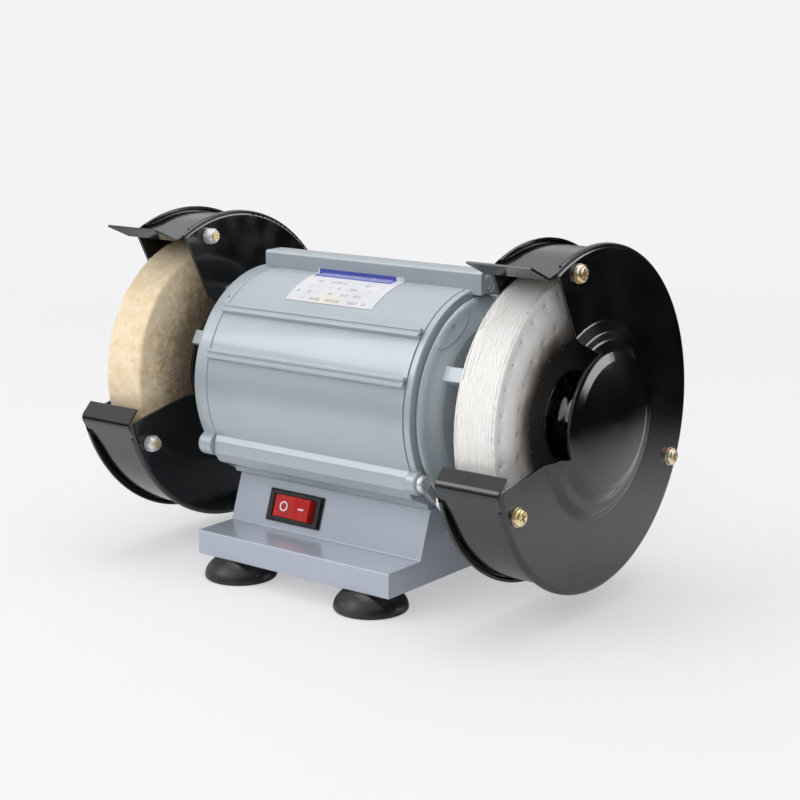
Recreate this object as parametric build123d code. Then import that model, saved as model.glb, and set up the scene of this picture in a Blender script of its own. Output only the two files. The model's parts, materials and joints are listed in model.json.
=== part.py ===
from build123d import *

# Bench grinder for polishing: a capacitor-run induction motor in a ribbed housing on a hollow base, with a
# felt wheel on its left and a stitched cloth buff on its right, each in a steel guard.
#
# Millimetres. X runs along the motor shaft, -Y is the front and Z is up. The origin is on the surface that
# the feet stand on, straight under the middle of the shaft. Sections across the shaft are drawn in (forward,
# up) coordinates from the shaft's axis, and angles there start at the front and turn upward. What comes in
# a left and a right copy is made for the right, and mirrored.

import os
from math import acos, atan, cos, degrees, radians, sin, sqrt

# ---- driving dimensions ----
SHAFT_Z = 86.0

HOUSING_R = 51.0
BORE_R = 47.5
HOUSING_END = 54.5
LEFT_END = 58.5
RIDGE_HALF = 6.3
RIDGE_TOP = 58.8
RIDGE_LEFT_END = 54.8
RIB_ANGLES = (17.8, 42.9, 137.1, 162.2)
RIB_TOP = 53.5
RAIL_FOOT = 43.0
TIE_BOLTS = ((0.0, 53.9), (44.0, -28.1), (-44.0, -28.1))
TIE_BOLT_HEAD_R = 3.9
HOUSING_SCREW_X = (-45.0, -15.0, 15.0, 45.0)
LEAD_HOLE_X = -30.0
LEAD_HOLE_R = 4.5

BELL_GROOVE = (58.3, 59.7)
SHOULDER_R = 47.9
BELL_FACE = 65.5
BELL_FACE_R = 37.0
LEFT_BELL_FACE = 67.2
TOP_LUG_END = 63.3
LOW_LUG_END = 59.5
LUG_R = 36.0
LUG_SIDE = 6.8
LUG_ANGLES = (84.0, 180.0, 270.0)
SPARE_LUG_ANGLE = 29.0

GUARD_R = 75.0
GUARD_IN = 86.7
GUARD_OUT = 120.2
SHEET = 1.2
LIP = 2.9
LIP_BEND_R = 2.2
BAND_R = 71.5
BAND_SHEET = 1.0
FOLD_R = 1.6
CUT_ANGLE = 62.8
NOTCH_R = 31.4
DOME_RISE = 8.8
DOME_R = 26.5
GUARD_SCREW_R = 67.3
GUARD_SCREW_ANGLES = (74.0, -25.0, -156.0)

FELT_R = 62.2
FELT_X = (94.0, 113.0)
BUFF_R = 63.5
BUFF_RIM_X = (89.7, 109.3)
BUFF_HUB_X = (94.0, 105.0)
FLANGE_SEAT = 89.8
FLANGE_R = 20.0
FLANGE_T = 3.5
THREAD_R = 6.0
SHAFT_END = 124.0

BEARING_X = (53.0, 64.0)
RACE_IN_R = 7.5
RACE_OUT_R = 17.5
BALL_R = 3.0
BALL_PITCH_R = 12.5
BALLS = 8
WAVE_GAP = 0.8

STACK_HALF = 20.0
ROTOR_R = 25.6
STATOR_BORE_R = 26.0
SLOTS = 24
CAGE_BARS = 18

BASE_HALF_X = 55.5
BASE_HALF_Y = 61.8
BASE_BOTTOM = 10.1
FLANGE_TOP = 21.3
SLOPE_FOOT_Y = 39.3
SLOPE_HEAD_Y = 31.9
BASE_TOP = 43.0
BASE_WALL = 2.2
SADDLE_GAP = 0.15
PLATE_T = 1.2
PLATE_SCREWS = ((-12.0, -53.0), (-12.0, 53.0), (12.0, -53.0), (12.0, 53.0))
FOOT_X = 38.3
FOOT_Y = 52.2
FOOT_R = 16.6

SWITCH_X = -18.8
SWITCH_UP = 11.0
BEZEL = (32.0, 15.0)
ROCKER_TILT = 8.0
PIVOT_DEPTH = 1.0
GLAND_X = -30.0
GLAND_BORE_R = 3.6
CAPACITOR_AT = (14.0, 22.0)
CAPACITOR_SCREW = (-12.0, 22.0)

M4 = 2.0
M4_HOLE = 2.15
M5 = 2.5

# what follows from them
SLOPE_SLANT = (SLOPE_FOOT_Y - SLOPE_HEAD_Y) / (BASE_TOP - FLANGE_TOP)
SLOPE_LEAN = degrees(atan(SLOPE_SLANT))

BOTTOM = (Align.CENTER, Align.CENTER, Align.MIN)
TOP = (Align.CENTER, Align.CENTER, Align.MAX)
nodes = {}


# ---- helpers ----
def polar(r, angle):
    return (r * cos(radians(angle)), r * sin(radians(angle)))


def slab(face, x0, x1):
    """Extrudes a face drawn in (forward, up) coordinates along the shaft, from x0 to x1."""
    end = Plane(origin=(x1, 0, SHAFT_Z), x_dir=(0, -1, 0), z_dir=(-1, 0, 0))
    return extrude(end * face, amount=x1 - x0)


def rod(r, x0, x1, at=(0.0, 0.0)):
    return slab(Pos(*at) * Circle(r), x0, x1)


def tube(outer_r, inner_r, x0, x1, at=(0.0, 0.0)):
    return slab(Pos(*at) * (Circle(outer_r) - Circle(inner_r)), x0, x1)


def turned(edges):
    """Turns a closed outline, drawn in (x, radius) coordinates, about the shaft's axis."""
    return Pos(0, 0, SHAFT_Z) * revolve(Plane.XZ * make_face(edges), axis=Axis.X)


def turned_points(*points):
    return turned(Polyline(*points, close=True))


def post(r, x, y, z0, z1):
    return Pos(x, y, z0) * Cylinder(r, z1 - z0, align=BOTTOM)


def on_shaft_side(x, at):
    """A plane at x whose normal points to +X, at a (forward, up) place."""
    return Plane(origin=(x, -at[0], SHAFT_Z + at[1]), x_dir=(0, 1, 0), z_dir=(1, 0, 0))


def mirrored(shape):
    return mirror(shape, about=Plane.YZ)


def corners(x, y):
    return [(sx * x, sy * y) for sx in (-1, 1) for sy in (-1, 1)]


# ---- fasteners ----
def pan_screw(shank_r, length, head_r, head_h):
    """A cross-recessed screw along -Z, with the underside of its head at z = 0."""
    head = Cylinder(head_r, head_h, align=BOTTOM)
    head = fillet(head.edges().sort_by(Axis.Z)[-1], head_h * 0.7)
    arm = Box(head_r * 1.1, head_r * 0.26, head_h, align=BOTTOM)
    cross = Pos(0, 0, head_h * 0.45) * (arm + Rot(0, 0, 90) * arm)
    return head - cross + Cylinder(shank_r, length, align=TOP)


def hex_nut(hole_r, flats, height):
    """A nut that stands on z = 0, with both ends bevelled."""
    corner_r = flats / sqrt(3)
    blank = Cylinder(corner_r, height, align=BOTTOM)
    blank = chamfer(blank.edges().filter_by(GeomType.CIRCLE), corner_r - flats / 2)
    prism = extrude(RegularPolygon(corner_r, 6), amount=height)
    return (prism & blank) - Cylinder(hole_r, height, align=BOTTOM)


def washer(outer_r, inner_r, height):
    return Cylinder(outer_r, height, align=BOTTOM) - Cylinder(inner_r, height, align=BOTTOM)


def lock_nut(hole_r, flats, height):
    """A nut with a round collar that holds a locking ring, at the end where z = 0."""
    collar_h = height * 0.28
    collar = Cylinder(flats * 0.45, height, align=BOTTOM)
    collar = fillet(collar.edges().sort_by(Axis.Z)[0], flats * 0.08)
    nut = Pos(0, 0, collar_h) * hex_nut(hole_r, flats, height - collar_h)
    return nut + (collar - Cylinder(hole_r, height, align=BOTTOM))


# ---- motor housing and end bells ----
def housing_rib(angle):
    """A low rib with a groove along its top, on the outside of the housing."""
    rib = Pos(RIB_TOP - 1.8, 0) * RectangleRounded(3.6, 4.6, 0.6) - Pos(RIB_TOP, 0) * Circle(0.7)
    return Rot(0, 0, angle) * rib


def ridge_outline():
    return Pos(0, RIDGE_TOP - 7) * RectangleRounded(2 * RIDGE_HALF, 14, 1.4)


def housing_rail():
    """The front lower rail, whose foot stands on the base."""
    outline = Polyline(
        (40.0, -15.0),
        polar(HOUSING_R - 0.6, -26.7),
        (46.9, -26.0),
        (47.0, -31.5),
        (43.8, -36.2),
        (33.4, -40.6),
        (32.4, -RAIL_FOOT),
        (27.0, -RAIL_FOOT),
        (20.0, -38.0),
        close=True,
    )
    rail = make_face(outline)
    outer = rail.vertices().filter_by_position(Axis.X, 40.5, 50.0)
    return fillet(outer, 0.9)


def housing_section():
    rail = housing_rail()
    section = Circle(HOUSING_R) + ridge_outline() + rail + mirror(rail, about=Plane.YZ)
    for angle in RIB_ANGLES:
        section += housing_rib(angle)
    section -= Circle(BORE_R)
    for at in TIE_BOLTS:
        section -= Pos(*at) * Circle(M4_HOLE)
    return section


def make_housing():
    housing = slab(housing_section(), -LEFT_END, HOUSING_END)
    housing -= slab(ridge_outline() - Circle(HOUSING_R), -LEFT_END - 1, -RIDGE_LEFT_END)
    for angle in RIB_ANGLES:
        for x0, x1 in ((-LEFT_END - 1, 12 - LEFT_END), (HOUSING_END - 12, HOUSING_END + 1)):
            housing -= rod(1.0, x0, x1, polar(RIB_TOP - 2.1, angle))
    belly = SHAFT_Z - HOUSING_R
    for x in HOUSING_SCREW_X:
        housing -= post(M4 + 0.05, x, 0, belly - 1, belly + 3.0)
    housing -= post(LEAD_HOLE_R, LEAD_HOLE_X, 0, belly - 1, SHAFT_Z)
    nodes["motor_housing"] = housing


def shoulder_curve(lift):
    """The bell's domed shoulder in (x, radius) coordinates, moved out by a small lift."""
    x, r = BELL_GROOVE[1] + lift, SHOULDER_R + lift / 2
    ends = [(0.6, -0.25), (0.25, -1)]
    return Spline((x, r), (x + 2.6, r - 4.0), (BELL_FACE + lift, BELL_FACE_R + lift / 2), tangents=ends)


def right_bell_body():
    """The turned part of the right end bell: spigot, ring, groove, domed shoulder and bearing seat."""
    seat_end = BEARING_X[1]
    g0, g1 = BELL_GROOVE
    ring_edge = HOUSING_R - 0.4
    shoulder = shoulder_curve(0)
    outer = [
        Polyline((50.5, 45.0), (50.5, BORE_R), (54.5, BORE_R), (54.5, 50.2), (55.0, 50.2), (55.0, ring_edge)),
        Polyline((55.0, ring_edge), (55.3, HOUSING_R), (g0 - 0.4, HOUSING_R), (g0, ring_edge)),
        Polyline((g0, ring_edge), (g0, 45.6), (g1, 45.6), shoulder @ 0),
        shoulder,
        Polyline(shoulder @ 1, (BELL_FACE, 23.0), (67.5, 21.5), (67.5, 8.6), (seat_end, 8.6)),
        Polyline((seat_end, 8.6), (seat_end, RACE_OUT_R), (BEARING_X[0], RACE_OUT_R)),
        Polyline((BEARING_X[0], RACE_OUT_R), (BEARING_X[0], 21.5), (62.6, 21.5), (62.6, 35.4)),
        Polyline((62.6, 35.4), (59.0, 42.0), (56.0, 45.0), (50.5, 45.0)),
    ]
    return turned(outer)


def left_bell_body():
    """The turned part of the left end bell: spigot, a deep ring with a rounded edge, and bearing seat."""
    joint, face_x = LEFT_END, LEFT_BELL_FACE
    seat_end = BEARING_X[1] + WAVE_GAP
    ring_edge = HOUSING_R - 0.4
    bend = ThreePointArc((face_x - 1.5, HOUSING_R), (face_x - 0.44, HOUSING_R - 0.44), (face_x, HOUSING_R - 1.5))
    outer = [
        Polyline((joint - 4, 45.0), (joint - 4, BORE_R), (joint, BORE_R), (joint, 50.2)),
        Polyline((joint, 50.2), (joint + 0.5, 50.2), (joint + 0.5, ring_edge), (joint + 0.8, HOUSING_R), bend @ 0),
        bend,
        Polyline(bend @ 1, (face_x, 8.6), (seat_end, 8.6), (seat_end, RACE_OUT_R), (BEARING_X[0], RACE_OUT_R)),
        Polyline((BEARING_X[0], RACE_OUT_R), (BEARING_X[0], 21.5), (64.2, 21.5), (64.2, 45.0), (joint - 4, 45.0)),
    ]
    return turned(outer)


def add_lugs(bell, low_lug, top_lug_end, spare_end):
    """Adds the lugs of the tie bolts, and the square ones of the guard, to the body of a bell."""
    bell += slab(ridge_outline() - Circle(HOUSING_R - 2), low_lug[0], top_lug_end)
    for at in TIE_BOLTS[1:]:
        boss = slab(Pos(*at) * Circle(5.4) - Circle(HOUSING_R - 2), *low_lug)
        bell += fillet(boss.faces().sort_by(Axis.X)[-1].edges().sort_by(Edge.length)[-1], 1.2)
    for at in TIE_BOLTS:
        bell -= rod(M4_HOLE, HOUSING_END - 1, low_lug[1] + 10, at)
    square = RectangleRounded(LUG_SIDE, LUG_SIDE, 0.5)
    for angle in LUG_ANGLES:
        bell += slab(Rot(0, 0, angle) * Pos(LUG_R, 0) * square, BELL_FACE - 1, GUARD_IN)
        bell -= rod(M4 + 0.05, 74.0, GUARD_IN + 1, polar(LUG_R, angle))
    bell += slab(Rot(0, 0, SPARE_LUG_ANGLE) * Pos(LUG_R, 0) * square, BELL_FACE - 1, spare_end)
    return bell


def shoulder_pad():
    """An oval pad with a small blind hole, which follows the shoulder of the right end bell."""
    curve = shoulder_curve(0.5)
    skin = turned([curve, Polyline(curve @ 1, (64.2, 35.8), (60.6, 43.2), curve @ 0)])
    forward, up = polar(44.3, 56.0)
    lean = Plane(
        origin=(61.8, -forward, SHAFT_Z + up),
        x_dir=(0, up, forward),
        z_dir=(0.85, -0.53 * forward / 44.3, 0.53 * up / 44.3),
    )
    oval = extrude(lean * Ellipse(12.5, 4.2), amount=8, both=True)
    return (skin & oval) - lean * Cylinder(1.2, 3.0)


def make_bells():
    right = add_lugs(right_bell_body(), (HOUSING_END, LOW_LUG_END), TOP_LUG_END, GUARD_IN - 1)
    right -= rod(TIE_BOLT_HEAD_R + 0.2, TOP_LUG_END - 2.7, TOP_LUG_END + 1, TIE_BOLTS[0])
    nodes["right_end_bell"] = right + shoulder_pad()
    over = slab(ridge_outline() - Circle(HOUSING_R + 0.05), RIDGE_LEFT_END, LEFT_END + 1)
    left = add_lugs(left_bell_body() + over, (LEFT_END + 0.5, LEFT_BELL_FACE - 0.2), 61.2, 82.0)
    nodes["left_end_bell"] = mirrored(left - rod(M4_HOLE, RIDGE_LEFT_END - 1, LEFT_END + 1, TIE_BOLTS[0]))


def make_tie_bolts():
    """Three long screws. The top one's head lies in a counterbore."""
    top, *low = TIE_BOLTS
    places = [(top, TOP_LUG_END - 2.7, 60.5)] + [(at, LOW_LUG_END, 65.5) for at in low]
    bolts = []
    for at, head_x, reach in places:
        screw = pan_screw(M4, head_x + reach, TIE_BOLT_HEAD_R, 2.6)
        bolts.append(on_shaft_side(head_x, at) * screw)
    nodes["tie_bolts"] = bolts


def make_rating_plate():
    """A film on the housing, whose upper edge climbs the side of the ridge."""
    x0, x1 = -28.6, 21.6
    a0, a1 = 54.0, 82.8
    r0, r1 = HOUSING_R, HOUSING_R + 0.25
    climb = Pos(RIDGE_HALF + 0.125, 51.7) * Rectangle(0.25, 2.15)
    inner = CenterArc((0, 0), r0, a0, a1 - a0)
    outer = CenterArc((0, 0), r1, a0, a1 - a0)
    ends = [Line(inner @ 0, outer @ 0), Line(inner @ 1, outer @ 1)]
    nodes["rating_plate"] = slab(make_face([inner, outer, *ends]) + climb, x0, x1)


# ---- motor ----
def make_stator():
    section = Circle(BORE_R) - Circle(STATOR_BORE_R)
    slot = Pos(33.4, 0) * RectangleRounded(12.4, 3.4, 1.0) + Pos(26.6, 0) * Rectangle(2.4, 1.4)
    section -= [Rot(0, 0, i * 360 / SLOTS) * slot for i in range(SLOTS)]
    nodes["stator_core"] = slab(section, -STACK_HALF, STACK_HALF)

    bar = Pos(33.4, 0) * RectangleRounded(12.0, 3.0, 0.8)
    bars = [slab(Rot(0, 0, i * 360 / SLOTS) * bar, -24, 24) for i in range(SLOTS)]
    end_turn = fillet(tube(42.0, 27.6, STACK_HALF + 0.8, 32.5).edges(), 3.0)
    nodes["stator_winding"] = end_turn + mirrored(end_turn) + bars


def make_rotor():
    bars = [polar(22.4, i * 360 / CAGE_BARS) for i in range(CAGE_BARS)]
    core = tube(ROTOR_R, 8.0, -STACK_HALF, STACK_HALF)
    core -= [rod(1.7, -STACK_HALF, STACK_HALF, at) for at in bars]
    nodes["rotor_core"] = core

    ring = tube(24.9, 15.0, STACK_HALF, 26.0)
    blade = Pos(20.5, 0) * Rectangle(7.0, 1.6)
    ring += [slab(Rot(0, 0, i * 45) * blade, 26.0, 31.0) for i in range(8)]
    nodes["rotor_cage"] = ring + mirrored(ring) + [rod(1.7, -21, 21, at) for at in bars]

    half = [
        (0.0, 8.0),
        (BEARING_X[0], 8.0),
        (BEARING_X[0], RACE_IN_R),
        (65.0, RACE_IN_R),
        (65.6, 7.0),
        (FLANGE_SEAT, 7.0),
        (FLANGE_SEAT, THREAD_R),
        (SHAFT_END - 1.0, THREAD_R),
        (SHAFT_END, THREAD_R - 1.0),
    ]
    outline = [(-x, r) for x, r in reversed(half)] + half[1:]
    nodes["motor_shaft"] = turned_points((-SHAFT_END, 0), *outline, (SHAFT_END, 0))


def race_groove(x):
    """The ring-shaped space that the balls roll in."""
    outline = Plane.XZ * (Pos(x, BALL_PITCH_R) * Circle(BALL_R + 0.05))
    return Pos(0, 0, SHAFT_Z) * revolve(outline, axis=Axis.X)


def make_bearings():
    x0, x1 = BEARING_X
    middle = (x0 + x1) / 2
    groove = race_groove(middle)
    outer = tube(RACE_OUT_R, 14.3, x0, x1) - groove
    inner = tube(10.7, RACE_IN_R, x0, x1) - groove
    balls = []
    cage = tube(13.4, 11.6, middle - 3.7, middle + 3.7)
    for i in range(BALLS):
        forward, up = polar(BALL_PITCH_R, i * 360 / BALLS)
        place = Pos(middle, -forward, SHAFT_Z + up)
        balls.append(place * Sphere(BALL_R - 0.02))
        cage -= place * Sphere(BALL_R + 0.06)
    shields = [tube(14.3, 10.95, x0 + 0.2, x0 + 0.6), tube(14.3, 10.95, x1 - 0.6, x1 - 0.2)]
    for name, shape in (("outer_race", outer), ("inner_race", inner), ("cage", cage)):
        nodes["right_bearing_" + name] = shape
        nodes["left_bearing_" + name] = mirrored(shape)
    nodes["right_bearing_balls"] = balls
    nodes["left_bearing_balls"] = [mirrored(ball) for ball in balls]
    nodes["bearing_shields"] = shields + [mirrored(shield) for shield in shields]


def make_wave_washer():
    """A thin ring with three waves, between the left bearing and its end bell."""
    middle = -(BEARING_X[1] + WAVE_GAP / 2)
    sheet = 0.3
    swing = (WAVE_GAP - sheet) / 2 - 0.1
    crests = [(middle - sheet / 2 + swing * (-1) ** i, 6.0 * i - 18.0) for i in range(7)]
    near = Spline(*crests)
    far = Pos(sheet, 0) * near
    strip = make_face([near, far, Line(near @ 0, far @ 0), Line(near @ 1, far @ 1)])
    wavy = Pos(0, 0, SHAFT_Z - 20) * extrude(strip, amount=40)
    nodes["wave_washer"] = wavy & tube(RACE_OUT_R - 0.2, 14.9, middle - 1, middle + 1)


# ---- wheels ----
def make_flanges_and_nuts():
    inner = turned_points(
        (FLANGE_SEAT, THREAD_R),
        (FLANGE_SEAT, 11.0),
        (FLANGE_SEAT + 1.8, 13.0),
        (FLANGE_SEAT + 1.8, FLANGE_R - 0.5),
        (FLANGE_SEAT + 2.3, FLANGE_R),
        (94.0, FLANGE_R),
        (94.0, THREAD_R),
    )
    nodes["right_inner_flange"] = inner
    nodes["left_inner_flange"] = mirrored(inner)
    for side, seat in (("left", FELT_X[1]), ("right", BUFF_HUB_X[1])):
        flange = turned_points(
            (seat, THREAD_R),
            (seat, FLANGE_R),
            (seat + 1.2, FLANGE_R),
            (seat + FLANGE_T, 14.0),
            (seat + FLANGE_T, THREAD_R),
        )
        nut = on_shaft_side(seat + FLANGE_T, (0, 0)) * hex_nut(THREAD_R, 18.0, 6.0)
        if side == "left":
            flange, nut = mirrored(flange), mirrored(nut)
        nodes[side + "_outer_flange"] = flange
        nodes[side + "_wheel_nut"] = nut


def make_wheels():
    x0, x1 = FELT_X
    felt = turned_points(
        (x0, THREAD_R),
        (x0, 57.4),
        (x0 + 0.7, 58.6),
        (x0 + 2.4, 59.9),
        (x1 - 1.2, FELT_R),
        (x1, FELT_R - 1.0),
        (x1, THREAD_R),
    )
    nodes["felt_wheel"] = mirrored(felt)
    hub0, hub1 = BUFF_HUB_X
    rim0, rim1 = BUFF_RIM_X
    nodes["cloth_buff"] = turned_points(
        (hub0, THREAD_R),
        (hub0, 27.0),
        (rim0, 50.0),
        (rim0, BUFF_R - 1.4),
        (rim0 + 1.4, BUFF_R),
        (rim1 - 1.4, BUFF_R),
        (rim1, BUFF_R - 1.4),
        (rim1, 50.0),
        (hub1, 27.0),
        (hub1, THREAD_R),
    )


# ---- guards ----
def mouth_face():
    """The part of a guard's side that is cut away, so that the work reaches the wheel."""
    notch = polar(NOTCH_R, 75.0)
    low = polar(NOTCH_R, -20.0)
    arc = CenterArc((0, 0), NOTCH_R, -20.0, 95.0)
    rest = Polyline(
        notch,
        polar(40.0, CUT_ANGLE),
        polar(90.0, CUT_ANGLE),
        (110.0, 30.0),
        (110.0, -25.6),
        (65.8, -16.2),
        (45.2, -11.8),
        (34.6, -10.2),
        low,
    )
    return make_face([arc, rest])


def screw_holes(angles, r, x0, x1):
    return [rod(M4_HOLE, x0, x1, polar(r, angle)) for angle in angles]


def tab_room(x0, x1):
    """Room in a turned-back lip for the rim, where that leaves its circle towards its two folds."""
    ring = Circle(GUARD_R + 1) - Circle(BAND_R + 1)
    room = []
    for angle, spread in ((62.8, 4.0), (-14.0, 6.0)):
        far = [polar(2 * GUARD_R, angle + side * spread) for side in (-1, 1)]
        room.append(slab(ring & make_face(Polyline((0, 0), *far, close=True)), x0, x1))
    return room


def side_plate():
    """The inner side of a guard, with a rounded lip turned towards the cover."""
    x = GUARD_IN
    face = FilletPolyline((x, 17.0), (x, GUARD_R), (x + LIP, GUARD_R), radius=LIP_BEND_R)
    back_r = LIP_BEND_R - SHEET
    back = FilletPolyline(
        (x + SHEET, 17.0), (x + SHEET, GUARD_R - SHEET), (x + LIP, GUARD_R - SHEET), radius=back_r
    )
    plate = turned([face, back, Line(face @ 0, back @ 0), Line(face @ 1, back @ 1)])
    plate -= slab(mouth_face(), x - 1, x + LIP + 1)
    plate -= tab_room(x + SHEET, x + LIP + 1)
    plate -= screw_holes(LUG_ANGLES, LUG_R, x - 1, x + LIP)
    return plate - screw_holes(GUARD_SCREW_ANGLES, GUARD_SCREW_R, x - 1, x + LIP)


def cover_line(x, rim_r, bend_r):
    """The stamped profile of a cover whose flat part is at x, from its turned-back lip to its middle."""
    steps = FilletPolyline(
        (GUARD_OUT - LIP, rim_r),
        (x, rim_r),
        (x, 42.5),
        (x + 2.8, 38.6),
        (x + 3.2, 34.6),
        (x + 5.8, 30.2),
        (x + 7.0, DOME_R),
        radius=[bend_r, 2.2, 2.2, 2.2, 2.2],
    )
    # the middle is a cap of a sphere that is centred on the shaft's axis, with a small flat at its top
    cap_rise = DOME_RISE - 7.0
    sphere_r = (DOME_R**2 + cap_rise**2) / (2 * cap_rise)
    half_way, near_top = (x + DOME_RISE - sphere_r + sqrt(sphere_r**2 - r**2) for r in (13.0, 1.0))
    dome = ThreePointArc((x + 7.0, DOME_R), (half_way, 13.0), (near_top, 1.0))
    return [steps, dome, Line(dome @ 1, (near_top, 0.0))]


def guard_cover():
    back_x = GUARD_OUT - SHEET
    face = cover_line(GUARD_OUT, GUARD_R, LIP_BEND_R)
    back = cover_line(back_x, GUARD_R - SHEET, LIP_BEND_R - SHEET)
    cover = turned([*face, *back, Line(face[0] @ 0, back[0] @ 0), Line(face[2] @ 1, back[2] @ 1)])
    cover -= slab(mouth_face(), GUARD_OUT - LIP - 1, GUARD_OUT + 12)
    cover -= tab_room(GUARD_OUT - LIP - 1, back_x)
    return cover - screw_holes(GUARD_SCREW_ANGLES, GUARD_SCREW_R, back_x - 1, GUARD_OUT + 1)


def guard_rim():
    """The band between the two sides. It leaves its circle near both ends and folds into a tab at each."""
    upper_fold, lower_fold = polar(74.8, 58.7), polar(75.0, -14.0)
    upper_leave = 58.7 + degrees(acos(BAND_R / 74.8))
    lower_leave = -14.0 - degrees(acos(BAND_R / 75.0))
    arc = CenterArc((0, 0), BAND_R, upper_leave, 360 + lower_leave - upper_leave)
    upper = FilletPolyline((52.5, 69.8), upper_fold, arc @ 0, radius=FOLD_R)
    lower = FilletPolyline(arc @ 1, lower_fold, (66.7, -12.1), radius=FOLD_R + BAND_SHEET)
    path = Wire([*upper.edges(), arc, *lower.edges()])
    band = make_face(path.offset_2d(BAND_SHEET, side=Side.LEFT))
    return slab(band, GUARD_IN + SHEET, GUARD_OUT - SHEET)


def guard_fasteners():
    """Screws, thin washers and lock nuts that clamp a guard's cover and inner plate onto its rim."""
    head_x = GUARD_OUT + 0.5
    nut_h = 4.8
    kinds = {"screws": [], "flat_washers": [], "nuts": []}
    for angle in GUARD_SCREW_ANGLES:
        at = polar(GUARD_SCREW_R, angle)
        screw = pan_screw(M4, head_x - GUARD_IN + nut_h + 0.8, 4.0, 2.4)
        kinds["screws"].append(on_shaft_side(head_x, at) * Rot(0, 0, 20) * screw)
        kinds["flat_washers"].append(on_shaft_side(GUARD_OUT, at) * washer(4.2, M4_HOLE, 0.5))
        kinds["nuts"].append(on_shaft_side(GUARD_IN - nut_h, at) * lock_nut(M4 + 0.03, 7.0, nut_h))
    return kinds


def make_guards():
    for name, shape in (("inner_plate", side_plate()), ("rim", guard_rim()), ("cover", guard_cover())):
        nodes["right_guard_" + name] = shape
        nodes["left_guard_" + name] = mirrored(shape)
    for kind, shapes in guard_fasteners().items():
        nodes["guard_" + kind] = shapes + [mirrored(shape) for shape in shapes]
    mounts = []
    for angle in LUG_ANGLES:
        screw = pan_screw(M4, 10.0, 3.9, 1.6)
        mounts.append(on_shaft_side(GUARD_IN + SHEET, polar(LUG_R, angle)) * screw)
    nodes["guard_mount_screws"] = mounts + [mirrored(shape) for shape in mounts]


# ---- base ----
def base_outline(inset, bottom):
    """The base's section, in (forward, up from the floor) coordinates."""
    flange_y = BASE_HALF_Y - inset
    low = FLANGE_TOP - inset
    # a wall that leans keeps its thickness when it moves in by this much sideways
    side = inset / cos(radians(SLOPE_LEAN))
    foot = SLOPE_FOOT_Y - side + SLOPE_SLANT * inset
    head = SLOPE_HEAD_Y - side + SLOPE_SLANT * inset
    half = [(flange_y, bottom), (flange_y, low), (foot, low), (head, BASE_TOP - inset)]
    points = half + [(-y, z) for y, z in reversed(half)]
    return make_face(Polyline(*points, close=True))


def from_floor(face, x0, x1):
    return slab(Pos(0, -SHAFT_Z) * face, x0, x1)


def panel_plane(x, up, front=True):
    """A plane on the sloped front or rear panel, with its normal pointing out and its second axis up."""
    share = up * cos(radians(SLOPE_LEAN)) / (BASE_TOP - FLANGE_TOP)
    y = SLOPE_FOOT_Y + share * (SLOPE_HEAD_Y - SLOPE_FOOT_Y)
    z = FLANGE_TOP + up * cos(radians(SLOPE_LEAN))
    sign = -1 if front else 1
    normal = (0, sign * cos(radians(SLOPE_LEAN)), sin(radians(SLOPE_LEAN)))
    return Plane(origin=(x, sign * y, z), x_dir=(-sign, 0, 0), z_dir=normal)


def make_base():
    outer = base_outline(0, BASE_BOTTOM)
    corner = outer.vertices().filter_by_position(Axis.Y, FLANGE_TOP - 1, BASE_TOP + 1)
    outer = fillet(corner, 0.8)
    saddle_r = HOUSING_R + SADDLE_GAP
    shell = from_floor(outer, -BASE_HALF_X, BASE_HALF_X)
    inside = BASE_HALF_X - BASE_WALL
    hollow = from_floor(base_outline(BASE_WALL, BASE_BOTTOM - 1), -inside, inside)
    hollow -= rod(saddle_r + BASE_WALL, -60, 60)
    shell -= hollow
    shell -= rod(saddle_r, -60, 60)
    belly = SHAFT_Z - saddle_r - BASE_WALL
    for x in HOUSING_SCREW_X:
        shell -= post(M4_HOLE, x, 0, belly - 1, SHAFT_Z)
    shell -= post(LEAD_HOLE_R, LEAD_HOLE_X, 0, belly - 1, SHAFT_Z)
    shell -= panel_plane(SWITCH_X, SWITCH_UP) * Box(27.6, 13.8, 12)
    shell -= panel_plane(GLAND_X, SWITCH_UP, front=False) * Cylinder(6.05, 12)
    plate_top = BASE_BOTTOM + PLATE_T
    for x, y in PLATE_SCREWS:
        shell += post(3.2, x, y, plate_top, FLANGE_TOP - 1)
        shell -= post(1.45, x, y, plate_top - 1, FLANGE_TOP - 3)
    nodes["base_shell"] = shell


def make_bottom_plate():
    half_x = BASE_HALF_X - BASE_WALL - 0.2
    half_y = BASE_HALF_Y - BASE_WALL - 0.2
    plate = Pos(0, 0, BASE_BOTTOM) * extrude(RectangleRounded(2 * half_x, 2 * half_y, 2), amount=PLATE_T)
    for x, y in corners(FOOT_X, FOOT_Y):
        plate -= post(M5 + 0.15, x, y, 0, 20)
    for x, y in PLATE_SCREWS:
        plate -= post(1.65, x, y, 0, 20)
    plate -= post(1.5, *CAPACITOR_SCREW, 0, 20)
    nodes["bottom_plate"] = plate
    screw = Rot(180, 0, 0) * pan_screw(1.45, 6.8, 2.8, 1.8)
    nodes["bottom_plate_screws"] = [Pos(x, y, BASE_BOTTOM) * screw for x, y in PLATE_SCREWS]


def make_foot():
    """A domed rubber foot, recessed underneath for the head of its screw."""
    dome = make_face(
        [
            Line((0, 0), (15.4, 0)),
            ThreePointArc((15.4, 0), (16.45, 0.7), (FOOT_R, 1.9)),
            Spline((FOOT_R, 1.9), (14.6, 6.2), (9.6, BASE_BOTTOM), tangents=[(-0.1, 1), (-1, 0.45)]),
            Line((9.6, BASE_BOTTOM), (0, BASE_BOTTOM)),
            Line((0, BASE_BOTTOM), (0, 0)),
        ]
    )
    foot = revolve(Plane.XZ * dome, axis=Axis.Z)
    foot -= Cylinder(6.6, 4.0, align=BOTTOM)
    return foot - Cylinder(M5 + 0.05, BASE_BOTTOM + 1, align=BOTTOM)


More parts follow.
